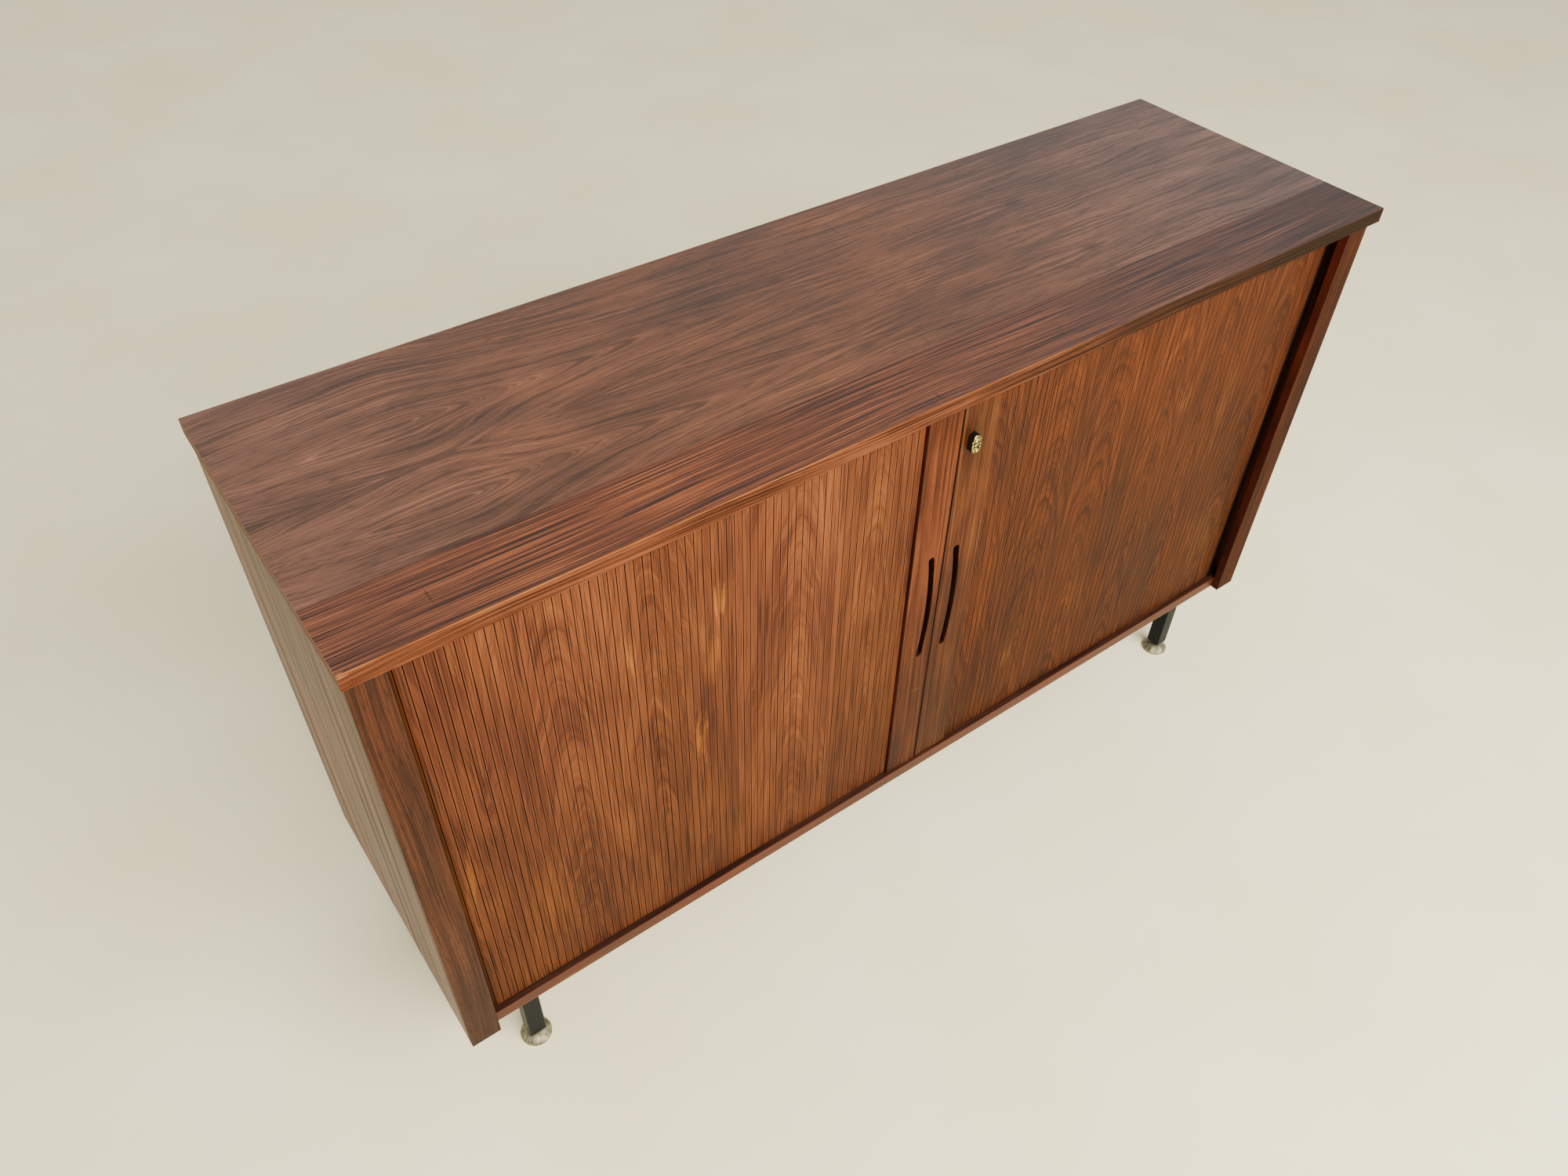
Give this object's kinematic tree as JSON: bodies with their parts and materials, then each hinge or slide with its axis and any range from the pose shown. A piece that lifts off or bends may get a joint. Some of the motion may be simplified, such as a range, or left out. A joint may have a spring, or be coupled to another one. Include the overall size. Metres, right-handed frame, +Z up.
{
  "type": "tambour door cabinet",
  "caption": "Low wooden cabinet on square steel legs. Its slatted tambour doors slide round the corners into the sides and back, with curved finger slots and a lock.",
  "frame": {"origin": "on the floor, under the middle of the top's outline", "axes": "+X to the right seen from the front, +Y to the back, +Z up"},
  "size_m": [1.5, 0.447, 0.886],
  "materials": {
    "top_veneer": "satin lacquer, worn",
    "board_veneer": "satin lacquer",
    "stile_veneer": "satin lacquer",
    "side_veneer": "satin lacquer",
    "left_slats": "satin lacquer",
    "right_slats": "satin lacquer",
    "rail_wood": "satin lacquer",
    "inner_board": "thin clear lacquer",
    "shelf_board": "thin clear lacquer",
    "back_board": "raw",
    "lock_brass": "worn satin",
    "lock_steel": "bright",
    "fitting_steel": "bright",
    "leg_paint": "semi-gloss black",
    "glide_metal": "worn nickel"
  },
  "bodies": {
    "case": {"top_panel": "top_veneer", "bottom_board": "board_veneer", "outer_back": "back_board", "inner_back": "inner_board", "centre_partition": "inner_board", "left_stile": "stile_veneer", "left_outer_side": "side_veneer", "left_inner_side": "inner_board", "left_shelf": "shelf_board", "left_cross_rail": "leg_paint", "left_shelf_pin_1": "fitting_steel", "left_shelf_pin_2": "fitting_steel", "left_shelf_pin_3": "fitting_steel", "left_shelf_pin_4": "fitting_steel", "left_rail_screw_1": "fitting_steel", "left_rail_screw_2": "fitting_steel", "left_front_leg": "leg_paint", "left_back_leg": "leg_paint", "right_stile": "stile_veneer", "right_outer_side": "side_veneer", "right_inner_side": "inner_board", "right_shelf": "shelf_board", "right_cross_rail": "leg_paint", "right_shelf_pin_1": "fitting_steel", "right_shelf_pin_2": "fitting_steel", "right_shelf_pin_3": "fitting_steel", "right_shelf_pin_4": "fitting_steel", "right_rail_screw_1": "fitting_steel", "right_rail_screw_2": "fitting_steel", "right_front_leg": "leg_paint", "right_back_leg": "leg_paint"},
    "left_front_corner_slat_1": {"left_front_corner_slat_1": "left_slats"},
    "left_front_corner_slat_2": {"left_front_corner_slat_2": "left_slats"},
    "left_front_corner_slat_3": {"left_front_corner_slat_3": "left_slats"},
    "left_side_slats": {"left_side_slats": "left_slats"},
    "left_back_corner_slat_1": {"left_back_corner_slat_1": "left_slats"},
    "left_back_corner_slat_2": {"left_back_corner_slat_2": "left_slats"},
    "left_back_corner_slat_3": {"left_back_corner_slat_3": "left_slats"},
    "left_back_slats": {"left_back_slats": "left_slats"},
    "right_front_corner_slat_1": {"right_front_corner_slat_1": "right_slats"},
    "right_front_corner_slat_2": {"right_front_corner_slat_2": "right_slats"},
    "right_front_corner_slat_3": {"right_front_corner_slat_3": "right_slats"},
    "right_side_slats": {"right_side_slats": "right_slats"},
    "right_back_corner_slat_1": {"right_back_corner_slat_1": "right_slats"},
    "right_back_corner_slat_2": {"right_back_corner_slat_2": "right_slats"},
    "right_back_corner_slat_3": {"right_back_corner_slat_3": "right_slats"},
    "right_back_slats": {"right_back_slats": "right_slats"},
    "lock_plug": {"lock_plug": "lock_brass"},
    "lock_bolt": {"lock_bolt": "lock_steel"},
    "left_front_glide": {"left_front_glide": "glide_metal"},
    "left_back_glide": {"left_back_glide": "glide_metal"},
    "right_front_glide": {"right_front_glide": "glide_metal"},
    "right_back_glide": {"right_back_glide": "glide_metal"},
    "left_door": {"left_lead_rail": "rail_wood", "lock_keeper": "lock_steel"},
    "right_door": {"right_lead_rail": "rail_wood", "lock_shell": "lock_brass", "lock_case": "lock_steel"}
  },
  "joints": [
    {"name": "left_door_slide", "type": "slide", "parent": "case", "child": "left_door", "axis": [-1, 0, 0], "range_m": [0, 0.655]},
    {"name": "left_front_corner_slat_1_turn", "type": "hinge", "parent": "case", "child": "left_front_corner_slat_1", "pos_m": [-0.3794, 1.99739, 0.5225], "axis": [0, 0, -1], "range_deg": [0, 17.08], "deforming": ["left_front_corner_slat_1"]},
    {"name": "left_front_corner_slat_2_turn", "type": "hinge", "parent": "case", "child": "left_front_corner_slat_2", "pos_m": [-0.38522, 0.51581, 0.5225], "axis": [0, 0, -1], "range_deg": [0, 50.28], "deforming": ["left_front_corner_slat_2"]},
    {"name": "left_front_corner_slat_3_turn", "type": "hinge", "parent": "case", "child": "left_front_corner_slat_3", "pos_m": [-0.39051, 0.18715, 0.5225], "axis": [0, 0, -1], "range_deg": [0, 83.48], "deforming": ["left_front_corner_slat_3"]},
    {"name": "left_side_slats_turn", "type": "hinge", "parent": "case", "child": "left_side_slats", "pos_m": [-0.39169, 0.14831, 0.5225], "axis": [0, 0, -1], "range_deg": [0, 90], "deforming": ["left_side_slats"]},
    {"name": "left_back_corner_slat_1_turn", "type": "hinge", "parent": "case", "child": "left_back_corner_slat_1", "pos_m": [-0.41588, 0.12945, 0.5225], "axis": [0, 0, -1], "range_deg": [0, 97.95], "deforming": ["left_back_corner_slat_1"]},
    {"name": "left_back_corner_slat_2_turn", "type": "hinge", "parent": "case", "child": "left_back_corner_slat_2", "pos_m": [-0.49501, 0.07114, 0.5225], "axis": [0, 0, -1], "range_deg": [0, 131.15], "deforming": ["left_back_corner_slat_2"]},
    {"name": "left_back_corner_slat_3_turn", "type": "hinge", "parent": "case", "child": "left_back_corner_slat_3", "pos_m": [-0.5565, 0.02944, 0.5225], "axis": [0, 0, -1], "range_deg": [0, 164.35], "deforming": ["left_back_corner_slat_3"]},
    {"name": "left_back_slats_turn", "type": "hinge", "parent": "case", "child": "left_back_slats", "pos_m": [-0.58338, 0.0125, 0.5225], "axis": [0, 0, -1], "range_deg": [0, 180], "deforming": ["left_back_slats"]},
    {"name": "right_door_slide", "type": "slide", "parent": "case", "child": "right_door", "axis": [1, 0, 0], "range_m": [0, 0.639]},
    {"name": "right_front_corner_slat_1_turn", "type": "hinge", "parent": "case", "child": "right_front_corner_slat_1", "pos_m": [0.38742, 1.9292, 0.5225], "axis": [0, 0, 1], "range_deg": [0, 17.2], "deforming": ["right_front_corner_slat_1"]},
    {"name": "right_front_corner_slat_2_turn", "type": "hinge", "parent": "case", "child": "right_front_corner_slat_2", "pos_m": [0.39328, 0.49331, 0.5225], "axis": [0, 0, 1], "range_deg": [0, 50.64], "deforming": ["right_front_corner_slat_2"]},
    {"name": "right_front_corner_slat_3_turn", "type": "hinge", "parent": "case", "child": "right_front_corner_slat_3", "pos_m": [0.39861, 0.17451, 0.5225], "axis": [0, 0, 1], "range_deg": [0, 84.08], "deforming": ["right_front_corner_slat_3"]},
    {"name": "right_side_slats_turn", "type": "hinge", "parent": "case", "child": "right_side_slats", "pos_m": [0.39969, 0.14031, 0.5225], "axis": [0, 0, 1], "range_deg": [0, 90], "deforming": ["right_side_slats"]},
    {"name": "right_back_corner_slat_1_turn", "type": "hinge", "parent": "case", "child": "right_back_corner_slat_1", "pos_m": [0.4481, 0.10521, 0.5225], "axis": [0, 0, 1], "range_deg": [0, 106.87], "deforming": ["right_back_corner_slat_1"]},
    {"name": "right_back_corner_slat_2_turn", "type": "hinge", "parent": "case", "child": "right_back_corner_slat_2", "pos_m": [0.52102, 0.05567, 0.5225], "axis": [0, 0, 1], "range_deg": [0, 140.31], "deforming": ["right_back_corner_slat_2"]},
    {"name": "right_back_corner_slat_3_turn", "type": "hinge", "parent": "case", "child": "right_back_corner_slat_3", "pos_m": [0.58069, 0.01862, 0.5225], "axis": [0, 0, 1], "range_deg": [0, 173.74], "deforming": ["right_back_corner_slat_3"]},
    {"name": "right_back_slats_turn", "type": "hinge", "parent": "case", "child": "right_back_slats", "pos_m": [0.59138, 0.0125, 0.5225], "axis": [0, 0, 1], "range_deg": [0, 180], "deforming": ["right_back_slats"]},
    {"name": "lock_turn", "type": "hinge", "parent": "right_door", "child": "lock_plug", "pos_m": [0.02325, -0.195, 0.7822], "axis": [0, -1, 0], "range_deg": [0, 90]},
    {"name": "lock_bolt_slide", "type": "slide", "parent": "right_door", "child": "lock_bolt", "axis": [-1, 0, 0], "range_m": [0, 0.009]},
    {"name": "left_front_glide_turn", "type": "hinge", "parent": "case", "child": "left_front_glide", "pos_m": [-0.6515, -0.161, 0], "axis": [0, 0, 1], "range_deg": [-720, 720]},
    {"name": "left_back_glide_turn", "type": "hinge", "parent": "case", "child": "left_back_glide", "pos_m": [-0.6515, 0.161, 0], "axis": [0, 0, 1], "range_deg": [-720, 720]},
    {"name": "right_front_glide_turn", "type": "hinge", "parent": "case", "child": "right_front_glide", "pos_m": [0.6515, -0.161, 0], "axis": [0, 0, 1], "range_deg": [-720, 720]},
    {"name": "right_back_glide_turn", "type": "hinge", "parent": "case", "child": "right_back_glide", "pos_m": [0.6515, 0.161, 0], "axis": [0, 0, 1], "range_deg": [-720, 720]}
  ],
  "couplings": [
    {"joint": "left_front_corner_slat_1_turn", "follows": "left_door_slide", "rad_per_m": 0.45523},
    {"joint": "left_front_corner_slat_2_turn", "follows": "left_door_slide", "rad_per_m": 1.3399},
    {"joint": "left_front_corner_slat_3_turn", "follows": "left_door_slide", "rad_per_m": 2.2245},
    {"joint": "left_side_slats_turn", "follows": "left_door_slide", "rad_per_m": 2.3982},
    {"joint": "left_back_corner_slat_1_turn", "follows": "left_door_slide", "rad_per_m": 2.6099},
    {"joint": "left_back_corner_slat_2_turn", "follows": "left_door_slide", "rad_per_m": 3.4946},
    {"joint": "left_back_corner_slat_3_turn", "follows": "left_door_slide", "rad_per_m": 4.3792},
    {"joint": "left_back_slats_turn", "follows": "left_door_slide", "rad_per_m": 4.7963},
    {"joint": "right_front_corner_slat_1_turn", "follows": "right_door_slide", "rad_per_m": 0.46987},
    {"joint": "right_front_corner_slat_2_turn", "follows": "right_door_slide", "rad_per_m": 1.3832},
    {"joint": "right_front_corner_slat_3_turn", "follows": "right_door_slide", "rad_per_m": 2.2965},
    {"joint": "right_side_slats_turn", "follows": "right_door_slide", "rad_per_m": 2.4582},
    {"joint": "right_back_corner_slat_1_turn", "follows": "right_door_slide", "rad_per_m": 2.919},
    {"joint": "right_back_corner_slat_2_turn", "follows": "right_door_slide", "rad_per_m": 3.8323},
    {"joint": "right_back_corner_slat_3_turn", "follows": "right_door_slide", "rad_per_m": 4.7456},
    {"joint": "right_back_slats_turn", "follows": "right_door_slide", "rad_per_m": 4.9164},
    {"joint": "lock_turn", "follows": "lock_bolt_slide", "rad_per_m": 174.53}
  ]
}
